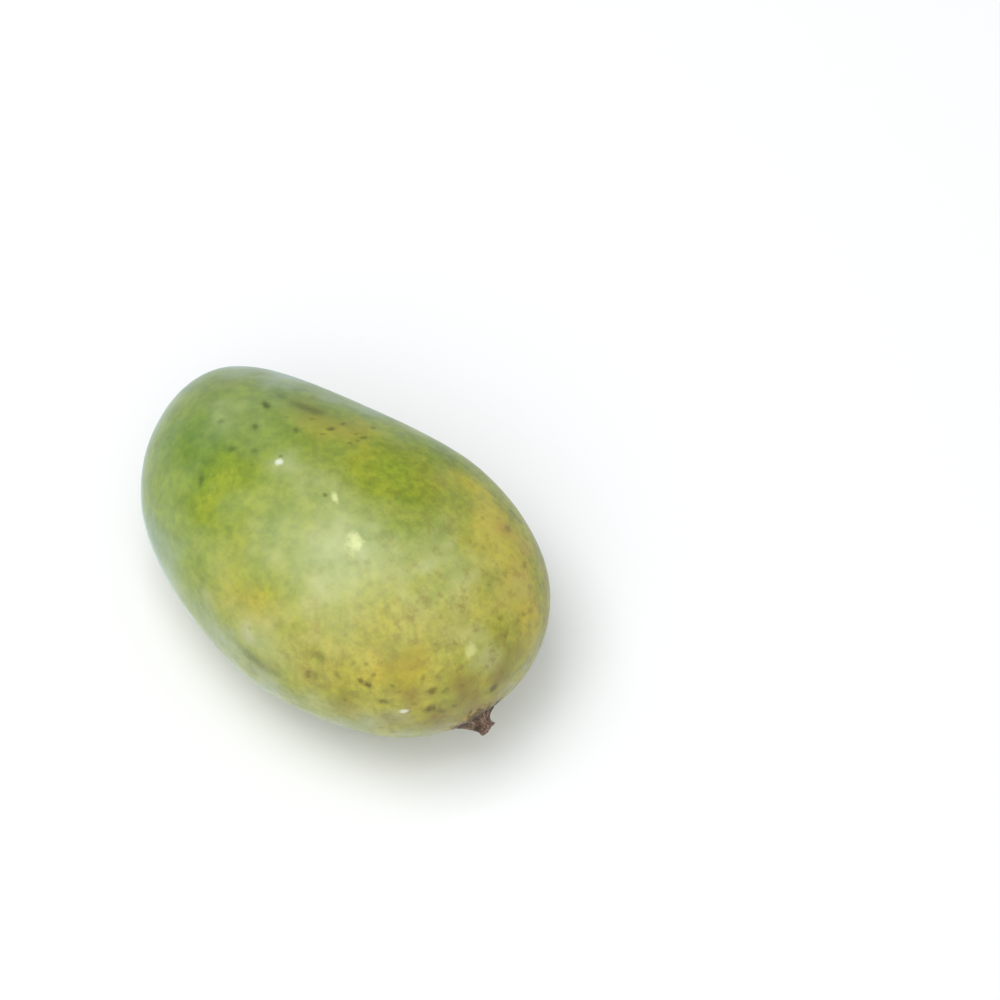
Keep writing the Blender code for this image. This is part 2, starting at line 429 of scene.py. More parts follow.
SPECKS = crisp_marks(
    (266, 405, 3.8, 1.9, 126, 0.90, 0.2),
    (255, 427, 2.6, 1.7, 100, 0.60, 0.1),
    (232, 449, 2.2, 1.8, 10, 0.46, 0.1),
    (296, 430, 2.2, 1.6, 110, 0.60, 0.1),
    (331, 429, 2.3, 1.5, 10, 0.80, 0.3),
    (201, 480, 3.4, 1.6, 90, 0.60, 0.1),
    (221, 421, 2.2, 1.8, 0, 0.35, 0.0),
    (296, 404, 4.0, 3.0, -14, 0.33, 0.3),
    (304, 407, 3.4, 2.8, -14, 0.38, 0.4),
    (313, 411, 4.0, 3.0, -20, 0.41, 0.4),
    (321, 413, 2.8, 2.4, -20, 0.22, 0.5),
    (281, 396, 4.2, 2.0, -24, 0.28, 0.3),
    (298, 390, 4.4, 2.4, 8, 0.26, 0.3),
    (325, 495, 1.3, 1.2, 0, 0.60, 0.2),
    (254, 451, 2.0, 1.6, 0, 0.35, 0.0),
    (281, 456, 1.2, 1.0, 0, 0.40, 0.1),
    (343, 424, 1.8, 1.2, 30, 0.60, 0.4),
    (364, 438, 2.0, 1.1, 0, 0.60, 0.5),
    (373, 428, 1.4, 1.1, 0, 0.45, 0.5),
    (350, 443, 1.2, 1.0, 0, 0.45, 0.3),
    (356, 434, 1.3, 0.9, 20, 0.40, 0.6),
    (358, 441, 1.6, 0.8, 0, 0.35, 0.6),
    (323, 434, 1.8, 0.9, 0, 0.35, 0.5),
    (312, 419, 1.6, 1.2, 0, 0.32, 0.6),
    (287, 417, 1.4, 1.0, 0, 0.25, 0.4),
    (313, 397, 2.6, 1.4, 80, 0.25, 0.4),
    (397, 498, 2.2, 1.6, 40, 0.30, 0.0),
    (508, 529, 2.5, 2.0, 70, 0.40, 0.9),
    (511, 511, 1.3, 1.1, 0, 0.45, 0.7),
    (525, 565, 2.6, 2.0, 80, 0.40, 0.3),
    (320, 657, 3.2, 2.2, -28, 0.42, 0.1),
    (308, 674, 3.2, 2.0, 70, 0.55, 0.6),
    (315, 676, 2.2, 1.5, 80, 0.32, 0.6),
    (337, 675, 2.4, 1.4, -50, 0.35, 0.3),
    (250, 656, 10.0, 3.0, -40, 0.40, 0.0),
    (272, 672, 6.0, 2.2, -30, 0.16, 0.2),
    (452, 646, 6.4, 2.4, 4, 0.28, 0.2),
    (437, 676, 1.2, 1.0, 0, 0.25, 0.9),
    (447, 689, 1.4, 1.1, 0, 0.30, 0.9),
    (414, 704, 1.6, 1.2, 0, 0.30, 0.9),
    (399, 692, 1.5, 1.1, 20, 0.32, 0.9),
    (441, 711, 3.0, 1.6, -10, 0.50, 0.8),
    (455, 706, 1.6, 1.2, 0, 0.50, 0.9),
    (345, 700, 1.3, 1.0, 0, 0.40, 0.8),
    (461, 612, 1.3, 1.0, 0, 0.15, 0.6),
    (489, 585, 1.2, 1.0, 0, 0.25, 0.6),
    (237, 591, 1.4, 1.2, 0, 0.22, 0.4),
    (250, 628, 1.6, 1.2, 0, 0.18, 0.2),
    (203, 580, 2.0, 1.6, 40, 0.16, 0.0),
    (361, 681, 2.0, 1.4, -30, 0.80, 0.7),
    (368, 685, 2.2, 1.5, -30, 0.90, 0.7),
    (374, 675, 1.3, 1.0, 0, 0.40, 0.4),
    (366, 664, 1.1, 1.0, 0, 0.32, 0.3),
    (354, 663, 1.2, 1.0, 0, 0.24, 0.3),
    (382, 701, 2.8, 1.7, -10, 0.70, 0.8),
    (392, 686, 1.3, 1.1, 0, 0.40, 0.5),
    (432, 691, 2.8, 2.1, 20, 0.68, 0.9),
    (430, 709, 3.4, 2.2, 5, 0.85, 0.9),
    (443, 692, 1.6, 1.3, 0, 0.28, 0.6),
    (423, 678, 1.9, 1.5, 60, 0.35, 0.8),
    (494, 688, 2.8, 2.4, 60, 0.90, 0.9),
    (501, 618, 2.0, 1.6, 80, 0.36, 0.3),
    (518, 621, 3.2, 1.6, 85, 0.30, 0.5),
    (506, 635, 1.7, 1.4, 0, 0.22, 0.4),
    (524, 614, 1.3, 1.1, 0, 0.22, 0.5),
    (367, 563, 2.0, 1.6, 0, 0.22, 0.0),
    (453, 598, 2.6, 1.6, 60, 0.25, 0.4),
)

# Painted highlights: pale spots where small glints of the lights fall on the skin.
PAINTED_HIGHLIGHT_SPOTS = crisp_marks(
    (335, 497, 3.4, 2.0, 110, 0.55, 0),
    (355, 541, 5.6, 4.4, 80, 0.60, 0),
    (471, 649, 4.4, 3.0, 80, 0.36, 0),
)

# Near-white raised flecks.
WHITE_FLECKS = crisp_marks(
    (279, 462, 2.3, 1.8, 20, 1.0, 0),
    (404, 711, 2.3, 1.4, 10, 0.85, 0),
)

BEAK_SCAR = Mark(0, 0, 2.6, 2.2, 0, 1.0, 1.0)


class Wash(NamedTuple):
    """A colour laid over the skin: the stored number that says how much, the noise that breaks it
    up, the step of that noise as low, high, share at low and share at high, and the colour."""

    stored: str
    noise: str
    ends: tuple
    colour: tuple


WASHES = (
    Wash("gold", "middling", (0.2, 0.7, 0.7, 1.1), (198, 184, 34)),
    Wash("blush", "middling", (0.3, 0.65, 0.0, 1.0), (190, 138, 62)),
    # Pale wax bloom, with a painted highlight and painted rim shade from its patches.
    Wash("bloom_and_highlight", "broad", (0.25, 0.7, 0.45, 0.825), (182, 190, 140)),
    # Painted reflection along the rims, and painted shade on the lower rim.
    Wash("rim_sheen_and_shade", "middling", (0.2, 0.7, 0.7, 1.1), (156, 172, 166)),
    Wash("russet", "flaky", (0.48, 0.70, 0.0, 1.0), (122, 102, 42)),
    Wash("stain", "middling", (0.3, 0.7, 0.35, 1.0), (116, 92, 38)),
)

# Colours by value: skin from green to yellow, cork, and bark
RIPENING = (
    (0.00, (80, 110, 28)),
    (0.20, (97, 128, 28)),
    (0.40, (124, 143, 22)),
    (0.58, (150, 153, 34)),
    (0.78, (166, 158, 46)),
    (1.00, (177, 160, 48)),
)
CORK = (
    (0.34, (60, 48, 22)),
    (0.46, (128, 106, 54)),
    (0.62, (170, 148, 98)),
)
BARK = (
    (0.30, (72, 60, 46)),
    (0.44, (120, 98, 82)),
    (0.58, (150, 124, 106)),
    (0.72, (176, 150, 126)),
)


# Form of the fruit


def closing(x, broadest_x, half_length):
    """Share of the full half-width left at x: the root of 1 - (1 - k) d**taper - k d**6,
    where d is the distance from the broadest place as a share of the way to that tip."""
    to_nose = np.clip((broadest_x - x) / (broadest_x + half_length), 0, 1)
    to_stalk = np.clip((x - broadest_x) / (half_length - broadest_x), 0, 1)
    d = np.maximum(to_nose, to_stalk)
    taper = np.where(x < broadest_x, NOSE_TAPER, STALK_TAPER)
    return np.sqrt(np.clip(1 - (1 - TIP_SHARE) * d**taper - TIP_SHARE * d**TIP_TAPER, 0, 1))


def plain_skin(turn, around):
    """Points of the skin without its relief. turn runs from 0 at the nose tip to pi at the
    stalk end, and around is the angle from +Y over the top."""
    half = LENGTH / 2
    x = -half * np.cos(turn)
    share = x / half
    middle_y = END_BEND * np.abs(share) ** 3 + S_BEND * share * (1 - share**2)
    y = middle_y + WIDTH / 2 * closing(x, BROADEST_X, half) * np.cos(around)
    z = THICKNESS / 2 * closing(x, THICKEST_X, half) * np.sin(around)
    return np.stack([x, y, z], axis=-1)


def outward(points):
    """Unit vectors out of the skin, as on the ellipsoid of the fruit's size."""
    out = points / np.array([LENGTH / 2, WIDTH / 2, THICKNESS / 2]) ** 2
    return out / np.linalg.norm(out, axis=-1, keepdims=True)


def mound(points, place, spread):
    """A round mound of height 1 about a place on the skin, falling off as exp(-(d/spread)**2)."""
    distance = np.linalg.norm(points - plain_skin(*place), axis=-1)
    return np.exp(-((distance / spread) ** 2))


def stalk_frame():
    """The stalk's seat on the plain skin, its lean direction, the direction across, its axis."""
    axis = STALK_AXIS / np.linalg.norm(STALK_AXIS)
    lean = np.array((0.0, 1.0, 0.0))
    lean = lean - lean @ axis * axis
    lean /= np.linalg.norm(lean)
    return plain_skin(*STALK_PLACE), lean, np.cross(axis, lean), axis


def about_stalk(points):
    """Each point's distance from the stalk's seat, and its bearing round the stalk's axis."""
    seat, lean, across, _ = stalk_frame()
    offset = points - seat
    return np.linalg.norm(offset, axis=-1), np.arctan2(offset @ across, offset @ lean)


def seat_relief(points):
    """The shallow seat round the stalk, with grooves that run out from it like a drawn bag."""
    distance, bearing = about_stalk(points)
    ring = np.exp(-(((distance - PUCKER_RING) / PUCKER_WIDTH) ** 2))
    groove = (0.5 + 0.5 * np.cos(PUCKERS * bearing + np.sin(2 * bearing))) ** 2
    return -SEAT_DEPTH * np.exp(-((distance / SEAT_SPREAD) ** 2)) - PUCKER_DEPTH * ring * groove


def relief(points):
    """Height of the solid's skin over the plain one: two slow waves, each the product of a sine
    and a cosine, the beak and the hollow at the nose, and the stalk's seat."""
    x, y, z = np.moveaxis(points / (LENGTH / 2), -1, 0)
    waves = np.sin(5.1 * x + 2.3 * y + 1.0) * np.cos(4.4 * z - 1.7 * x)
    waves = waves + 0.6 * np.sin(7.9 * y - 3.1 * z + 0.5) * np.cos(6.3 * x + 2.0 * z)
    return (
        WAVE_HEIGHT * waves
        + BEAK_HEIGHT * mound(points, BEAK_PLACE, BEAK_SPREAD)
        - HOLLOW_DEPTH * mound(points, HOLLOW_PLACE, HOLLOW_SPREAD)
        + seat_relief(points)
    )


def solid_skin(plain):
    """The solid's skin: the plain one moved out by its relief, and level at the resting spot."""
    skin = plain + outward(plain) * relief(plain)[..., None]
    skin[..., 2] = np.maximum(skin[..., 2], SPOT_HEIGHT)
    return skin


def ridges(bearing, counts, seed):
    """A wavy line round the stalk, -1 to 1: a sum of cosines with seeded phases."""
    phases = np.random.default_rng(seed).uniform(0, 2 * math.pi, len(counts))
    shares = 1 / np.arange(1, len(counts) + 1)
    waves = [
        share * np.cos(count * bearing + phase)
        for share, count, phase in zip(shares, counts, phases)
    ]
    return sum(waves) / shares.sum()


def lip(points):
    """Height of the corky lip round the stalk's foot: a ring exp(-((d - ring)/width)**2), wider
    outside than inside, uneven along its length and highest on the upper side."""
    distance, bearing = about_stalk(points)
    beyond = distance - LIP_RING
    width = np.where(beyond < 0, LIP_INNER, LIP_OUTER)
    upper = np.clip(np.cos(bearing - LIP_SIDE), 0, 1)
    uneven = 0.10 + upper * (0.85 + 0.45 * ridges(bearing, (4, 7, 11, 17), seed=23))
    return LIP_HEIGHT * uneven * np.exp(-((beyond / width) ** 2))


def grain(points, size, seed):
    """Smooth random field, from -1 to 1: random values on a lattice of the given size, eased
    between its corners, and repeating after the lattice's last cell."""
    lattice = np.random.default_rng(seed).uniform(-1, 1, (LATTICE_CELLS,) * 3)
    cell = np.floor(points / size).astype(int)
    share = points / size - cell
    share = share * share * (3 - 2 * share)
    total = np.zeros(points.shape[:-1])
    for corner in product((0, 1), repeat=3):
        weight = np.prod(np.where(np.array(corner) == 1, share, 1 - share), axis=-1)
        i, j, k = np.moveaxis((cell + corner) % LATTICE_CELLS, -1, 0)
        total += weight * lattice[i, j, k]
    return total


def grains(points, layers):
    """Sum of grains, each given by its size, its height and its seed."""
    return sum(height * grain(points, size, seed) for size, height, seed in layers)


def fit_to_box(points, node):
    """Scale and shift that take the box of the points to the box of a solid in the frame."""
    low, high = (np.array(corner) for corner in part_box(node))
    own_low, own_high = points.min(axis=0), points.max(axis=0)
    scale = (high - low) / (own_high - own_low)
    return scale, low - own_low * scale


# The solid's own places on the skin give the fit, so that the finer mesh keeps to its faces.
SOLID_PLACES = np.meshgrid(
    np.linspace(0, math.pi, 47), np.linspace(0, 2 * math.pi, 73), indexing="ij"
)
SOLID_POINTS = solid_skin(plain_skin(*SOLID_PLACES)).reshape(-1, 3)
FRUIT_SCALE, FRUIT_SHIFT = fit_to_box(SOLID_POINTS, "fruit")


def fitted(points):
    """Points of the formulas, at the size and place of the solids in the frame."""
    return points * FRUIT_SCALE + FRUIT_SHIFT


# Mesh helpers


def closed_skin(name, rings, first, last):
    """A mesh of rings of points, closed by a fan to a point at each end. rings is an array
    (ring, bearing, axis), with bearings that turn from the first end's left to its right."""
    count, around = rings.shape[:2]
    points = np.concatenate([[first], rings.reshape(-1, 3), [last]])
    ring, bearing = np.meshgrid(np.arange(count - 1), np.arange(around), indexing="ij")
    here = 1 + ring * around + bearing
    beside = 1 + ring * around + (bearing + 1) % around
    quads = np.stack([here, beside, beside + around, here + around], axis=-1).reshape(-1, 4)
    bearing = np.arange(around)
    beside = (bearing + 1) % around
    first_point = np.zeros(around, int)
    last_point = np.full(around, len(points) - 1)
    last_ring = 1 + (count - 1) * around
    first_fan = np.stack([first_point, 1 + beside, 1 + bearing], axis=-1)
    last_fan = np.stack([last_point, last_ring + bearing, last_ring + beside], axis=-1)
    mesh = bpy.data.meshes.new(name)
    mesh.from_pydata(points.tolist(), [], quads.tolist() + first_fan.tolist() + last_fan.tolist())
    mesh.shade_smooth()
    obj = bpy.data.objects.new(name, mesh)
    bpy.context.scene.collection.objects.link(obj)
    return obj


def store(obj, name, values):
    """Keeps one number, or one vector, for each vertex, which the finish reads by its name."""
    kind, field = ("FLOAT", "value") if values.ndim == 1 else ("FLOAT_VECTOR", "vector")
    attribute = obj.data.attributes.new(name, kind, "POINT")
    attribute.data.foreach_set(field, values.astype(np.float32).ravel())


# Node helpers


def linear(red, green, blue):
    """A colour given as 0 to 255 on a screen, in the light units that shaders use."""
    parts = [c / 255 for c in (red, green, blue)]
    return (*(p / 12.92 if p <= 0.04045 else ((p + 0.055) / 1.055) ** 2.4 for p in parts), 1.0)


def fill(tree, sockets, inputs):
    """Fills sockets by name or number: another socket is linked, a value is set."""
    for key, value in inputs.items():
        if isinstance(value, bpy.types.NodeSocket):
            tree.links.new(value, sockets[key])
        else:
            sockets[key].default_value = value


def add(tree, kind, inputs=None, **settings):
    """Adds a node, sets its options and fills its inputs."""
    node = tree.nodes.new(kind)
    for name, value in settings.items():
        setattr(node, name, value)
    fill(tree, node.inputs, inputs or {})
    return node


def times(tree, first, second):
    """first * second."""
    inputs = {0: first, 1: second}
    return add(tree, "ShaderNodeMath", inputs, operation="MULTIPLY").outputs[0]


def plus_share(tree, total, share, value):
    """total + share * value."""
    inputs = {0: value, 1: share, 2: total}
    return add(tree, "ShaderNodeMath", inputs, operation="MULTIPLY_ADD").outputs[0]


def centred(tree, noise):
    """A noise of 0 to 1, moved down to lie about 0."""
    inputs = {0: noise, 1: 0.5}
    return add(tree, "ShaderNodeMath", inputs, operation="SUBTRACT").outputs[0]


def read(tree, name):
    """A stored number, as a socket."""
    return add(tree, "ShaderNodeAttribute", attribute_name=name).outputs["Fac"]


def inside(tree, name):
    """How far inside a stored mark: 1 at its middle, 0 on its edge and below 0 outside."""
    place = add(tree, "ShaderNodeAttribute", attribute_name=f"{name}_place").outputs["Vector"]
    distance = add(tree, "ShaderNodeVectorMath", {0: place}, operation="LENGTH").outputs["Value"]
    return add(tree, "ShaderNodeMath", {0: 1.0, 1: distance}, operation="SUBTRACT").outputs[0]


def cloud(tree, place, size, detail=2.0, roughness=0.5):
    """Noise of about the given grain size, 0 to 1."""
    inputs = {"Vector": place, "Scale": 1 / size, "Detail": detail, "Roughness": roughness}
    return add(tree, "ShaderNodeTexNoise", inputs).outputs["Fac"]


def step(tree, value, low, high, to_low=0.0, to_high=1.0):
    """An eased step of value between low and high."""
    ends = {"From Min": low, "From Max": high, "To Min": to_low, "To Max": to_high}
    inputs = {"Value": value, **ends}
    node = add(tree, "ShaderNodeMapRange", inputs, interpolation_type="SMOOTHSTEP")
    return node.outputs["Result"]


def blend(tree, share, under, over, mode="MIX"):
    """Two colours mixed by a share."""
    inputs = {0: share, 6: under, 7: over}
    return add(tree, "ShaderNodeMix", inputs, data_type="RGBA", blend_type=mode).outputs[2]


def ramp(tree, value, stops):
    """A colour for each value, from (value, screen colour) stops in order."""
    node = add(tree, "ShaderNodeValToRGB", {"Fac": value})
    elements = node.color_ramp.elements
    while len(elements) < len(stops):
        elements.new(1.0)
    for element, (position, colour) in zip(elements, stops):
        element.position = position
        element.color = linear(*colour)
    return node.outputs["Color"]


def dimpled(tree, height, strength, depth):
    """Normals that follow fine heights."""
    inputs = {"Height": height, "Strength": strength, "Distance": depth}
    return add(tree, "ShaderNodeBump", inputs).outputs["Normal"]


def new_finish(name):
    """An empty material with a Principled shader: the material, its tree and the shader."""
    material = bpy.data.materials.new(name)
    material.use_nodes = True
    return material, material.node_tree, material.node_tree.nodes["Principled BSDF"]


# Camera


def photograph_camera():
    """A camera where the photograph's was, turned so that the fruit lies where it does there."""
    sine, cosine = math.sin(VIEW_AZIMUTH), math.cos(VIEW_AZIMUTH)
    level = math.cos(VIEW_ELEVATION)
    back = Vector((sine * level, -cosine * level, math.sin(VIEW_ELEVATION)))
    right = Vector((cosine, sine, 0))
    up = back.cross(right)
    straight = Matrix((right, up, back)).transposed()
    across, down = ((px - FRAME_PX / 2) / FOCAL_PX for px in FRUIT_MIDDLE_PX)
    aside = Vector((across, -down, -1)).rotation_difference(Vector((0, 0, -1))).to_matrix()
    place = Vector(FRUIT_SHIFT) + back * VIEW_DISTANCE
    data = bpy.data.cameras.new("camera")
    data.sensor_width = SENSOR_MM
    data.lens = FOCAL_PX / FRAME_PX * SENSOR_MM
    data.clip_start, data.clip_end = SEEN_FROM, SEEN_TO
    camera = bpy.data.objects.new("camera", data)
    camera.matrix_world = Matrix.Translation(place) @ (straight @ aside).to_4x4()
    bpy.context.scene.collection.objects.link(camera)
    bpy.context.scene.camera = camera
    return camera


# Places on the skin


class Placed(NamedTuple):
    """A mark in its place on the skin: its middle, the way out of the skin there, the way that
    its length runs, and the mark itself."""

    middle: np.ndarray
    out: np.ndarray
    long_way: np.ndarray
    mark: Mark


def lay(mark, middle, out, way):
    """A mark laid on the skin, with its length along a way."""
    return Placed(middle, out, way / np.linalg.norm(way), mark)


class SkinMap:
    """Finds places on the skin from where the photograph shows them."""

    def __init__(self, camera, points, normals):
        to_camera = np.array(camera.matrix_world.inverted())
        turned = points @ to_camera[:3, :3].T + to_camera[:3, 3]
        self.points, self.normals = points, normals
        self.right, self.up, self.back = to_camera[:3, :3]
        self.scale = FOCAL_PX / -turned[:, 2]
        self.across = FRAME_PX / 2 + turned[:, 0] * self.scale
        self.down = FRAME_PX / 2 - turned[:, 1] * self.scale
        to_eye = np.array(camera.matrix_world.translation) - points
        self.facing = np.einsum("ij,ij->i", to_eye, normals) / np.linalg.norm(to_eye, axis=1)
        self.ragged = 1 + 0.40 * grain(points, 8 * MM, seed=21)
        self.ragged += 0.25 * grain(points, 3.2 * MM, seed=22)

    def place(self, across_px, down_px):
        """The point and normal of the skin that shows at a pixel."""
        gap = (self.across - across_px) ** 2 + (self.down - down_px) ** 2
        found = np.argmin(np.where(self.facing <= 0, np.inf, gap))
        normal = self.normals[found]
        step_right = (across_px - self.across[found]) / self.scale[found]
        step_down = (down_px - self.down[found]) / self.scale[found]
        return self.points[found] + self.along(normal, step_right, -step_down), normal

    def along(self, normal, rightward, upward):
        """The step along the skin that shows as a step rightward and upward in the photograph."""
        shown = rightward * self.right + upward * self.up
        return shown - self.back * (shown @ normal) / max(self.back @ normal, LEAST_FACING)

    def fall_off(self, middle, spread_mm):
        """A soft patch of height 1 with ragged edges, falling off as exp(-(d/spread)**2)."""
        distance = np.linalg.norm(self.points - middle, axis=-1) * self.ragged
        return np.exp(-((distance / (spread_mm * MM)) ** 2))

    def soft(self, patches):
        """Sum of the soft patches that the photograph shows."""
        total = np.zeros(len(self.points))
        for patch in patches:
            middle, _ = self.place(patch.across_px, patch.down_px)
            total += patch.amount * self.fall_off(middle, patch.spread_mm)
        return total

    def set_marks(self, marks):
        """Sets the marks that the photograph shows on the skin."""
        placed = []
        for mark in marks:
            middle, normal = self.place(mark.across_px, mark.down_px)
            lean = math.radians(mark.lean)
            way = self.along(normal, math.cos(lean), math.sin(lean))
            placed.append(lay(mark, middle, normal, way))
        return placed

    def unseen(self, count, random):
        """Places at random on the skin that the photograph doesn't show, more of them towards the
        stalk end, as where it does."""
        ring_radius = np.linalg.norm(self.points[:, 1:] - FRUIT_SHIFT[1:], axis=1)
        riper = np.clip(0.6 + self.points[:, 0] / LENGTH, 0.2, 1)
        chance = np.where(self.facing < HIDDEN_FACING, ring_radius * riper, 0)
        return random.choice(len(self.points), count, p=chance / chance.sum())

    def scatter(self, count, seed):
        """Marks at random on the skin that the photograph doesn't show."""
        random = np.random.default_rng(seed)
        placed = []
        for found in self.unseen(count, random):
            normal = self.normals[found]
            way = np.cross(normal, random.normal(size=3))
            length = 10 ** random.uniform(0.0, 0.5)
            width = length * random.uniform(0.5, 0.9)
            dark = random.uniform(0.25, 0.9)
            mark = Mark(0, 0, length, width, 0, dark, random.uniform(0, 0.8))
            placed.append(lay(mark, self.points[found], normal, way))
        return placed

    def scatter_soft(self, count, seed):
        """Sum of soft patches at random on the skin that the photograph doesn't show."""
        random = np.random.default_rng(seed)
        total = np.zeros(len(self.points))
        for found in self.unseen(count, random):
            amount = random.uniform(0.2, 0.6)
            total += amount * self.fall_off(self.points[found], random.uniform(2, 5.5))
        return total

    def scar(self):
        """The small dry scar on the beak, where the flower's style was."""
        offset = self.points - FRUIT_SHIFT - plain_skin(*BEAK_PLACE)
        found = np.argmin(np.linalg.norm(offset, axis=1))
        normal = self.normals[found]
        return [lay(BEAK_SCAR, self.points[found], normal, np.cross(normal, (0.0, 0.0, 1.0)))]

    def crisp(self, placed):
        """For each vertex, its place in the nearest mark's own axes, where the mark's edge is a
        ball of radius 1, and that mark's darkness and brownness. Beyond every mark's reach, the
        place is far out from the skin and both are 0."""
        local = np.tile((0.0, 0.0, FAR_OUT), (len(self.points), 1))
        dark, brown = np.zeros(len(self.points)), np.zeros(len(self.points))
        for middle, normal, long_way, mark in placed:
            half_sizes = np.array((mark.length_mm, mark.width_mm, mark.length_mm)) / 2 * MM
            axes = np.stack([long_way, np.cross(normal, long_way), normal])
            here = (self.points - middle) @ axes.T / half_sizes
            distance = np.linalg.norm(here, axis=1)
            near = (distance < MARK_REACH) & (distance < np.linalg.norm(local, axis=1))
            local[near] = here[near]
            dark[near] = mark.dark
            brown[near] = mark.brown
        return local, dark, brown


def clearance(placed, layer):
    """The gap between a mark's reach and the reaches of the marks in a layer."""
    gaps = [math.inf]
    for other in layer:
        reach = MARK_REACH * (placed.mark.length_mm + other.mark.length_mm) / 2 * MM
        gaps.append(np.linalg.norm(placed.middle - other.middle) - reach)
    return min(gaps)


def layers_of(marks):
    """Shares marks out over layers, each to the layer where it lies farthest from the others."""
    layers = [[] for _ in range(SPECK_LAYERS)]
    for placed in marks:
        max(layers, key=lambda layer: clearance(placed, layer)).append(placed)
    return layers


# The fruit


def dome(place):
    """A round rise of height 1 over a mark, exp(-d**2) in the mark's own axes."""
    return np.exp(-np.sum(place**2, axis=1))


def unevenness(points, speck_layers, fleck):
    """Height of the finer relief: three sizes of grain, sunk specks, raised white flecks and the
    lip.
    """
    fine = grains(points, SKIN_GRAINS)
    for place, dark, _ in speck_layers:
        fine -= SPECK_SINK * dark * dome(place)
    place, amount, _ = fleck
    return fine + FLECK_RISE * amount * dome(place) + lip(points)


def skin_numbers(points, skin_map):
    """What the finish reads at each vertex of the skin. Each number has a slow trend along the
    fruit, from -1 at the nose to 1 at the stalk end, some grain, and the patches that show."""
    share = points[:, 0] / (LENGTH / 2)
    side = points[:, 1] / (WIDTH / 2)
    height = points[:, 2] / (THICKNESS / 2)
    from_stalk, _ = about_stalk(points)

    ripe = 0.44 + 0.13 * share - 0.03 * side - 0.02 * height + 0.12 * np.clip(share, 0, 1) ** 2
    ripe += 0.05 * grain(points, 22 * MM, seed=4) + skin_map.soft(RIPE_PATCHES)
    # Wax bloom, with the painted highlight and the painted shade on the rims that its patches add.
    bloom_and_highlight = PLAIN_BLOOM + 0.10 * grain(points, 17 * MM, seed=5)
    bloom_and_highlight += 0.08 * grain(points, 7 * MM, seed=6) + skin_map.soft(BLOOM_AND_HIGHLIGHT_PATCHES)
    mottle = 0.92 + 0.30 * np.clip(share + 0.2, 0, 1) - 0.8 * (bloom_and_highlight - PLAIN_BLOOM)
    wax = np.clip(0.55 - 0.40 * share - 0.35 * side, 0.08, 1)
    wax *= np.clip(from_stalk / WAX_STARTS - 1, 0, 1)
    wax *= 1 + 0.4 * grain(points, 8 * MM, seed=8)
    stain = skin_map.soft(STAIN_PATCHES) + 0.55 * np.exp(-((from_stalk / STAIN_SPREAD) ** 2))
    stain += skin_map.scatter_soft(HIDDEN_STAINS, seed=32)
    russet = 0.08 + 0.50 * share + 0.12 * grain(points, 14 * MM, seed=9)
    return {
        "ripe": ripe,
        "bloom_and_highlight": np.clip(bloom_and_highlight, 0, 1),
        "mottle": np.clip(mottle, 0.45, 1.3),
        "wax": wax,
        # Painted reflection along the rims, and painted shade on the lower rim.
        "rim_sheen_and_shade": np.clip(skin_map.soft(RIM_SHEEN_AND_SHADE_PATCHES), 0, 1),
        "stain": np.clip(stain, 0, 1),
        "russet": np.clip(russet, 0, 0.6),
        "cork": np.clip(1.8 - from_stalk / CORK_REACH, 0, 1),
        # Painted shade in the crevice round the stalk's foot.
        "crevice_shade": np.clip(2.6 - (from_stalk - CREVICE_EDGE) / CREVICE_FADE, 0, 1),
        "blush": np.clip(skin_map.soft(BLUSH_PATCHES), 0, 1),
        "gold": np.clip(skin_map.soft(GOLD_PATCHES), 0, 1),
    }


def build_fruit(camera):
    """The skin: the solid's form with finer unevenness, sunk specks and raised white flecks."""
    turn = np.linspace(0, math.pi, SKIN_ALONG + 1)[1:-1]
    around = np.linspace(0, 2 * math.pi, SKIN_AROUND, endpoint=False)
    rings = plain_skin(*np.meshgrid(turn, around, indexing="ij"))
    ends = plain_skin(np.array([0.0, math.pi]), np.zeros(2))
    points = np.concatenate([ends[:1], rings.reshape(-1, 3), ends[1:]])
    solid = solid_skin(points)

    normals = outward(points)
    skin_map = SkinMap(camera, fitted(solid), normals)
    specks = skin_map.scar() + skin_map.set_marks(SPECKS)
    specks += skin_map.scatter(HIDDEN_SPECKS, seed=31)
    speck_layers = [skin_map.crisp(layer) for layer in layers_of(specks)]
    # Painted highlights: the pale spots.
    pale = skin_map.crisp(skin_map.set_marks(PAINTED_HIGHLIGHT_SPOTS))
    fleck = skin_map.crisp(skin_map.set_marks(WHITE_FLECKS))

    above_spot = np.clip((solid[:, 2] - SPOT_HEIGHT) / MM, 0, 1)
    fine = unevenness(points, speck_layers, fleck) * above_spot
    shaped = fitted(solid + normals * fine[:, None])
    grid = shaped[1:-1].reshape(SKIN_ALONG - 1, SKIN_AROUND, 3)
    fruit = closed_skin("mango_fruit", grid, shaped[0], shaped[-1])

    for name, values in skin_numbers(points, skin_map).items():
        store(fruit, name, values)
    for number, (place, dark, brown) in enumerate(speck_layers):
        store(fruit, f"speck_{number}_place", place)
        store(fruit, f"speck_{number}_dark", dark)
        store(fruit, f"speck_{number}_brown", brown)
    for name, (place, amount, _) in (("pale", pale), ("fleck", fleck)):
        store(fruit, f"{name}_place", place)
        store(fruit, f"{name}_amount", amount)
    return fruit


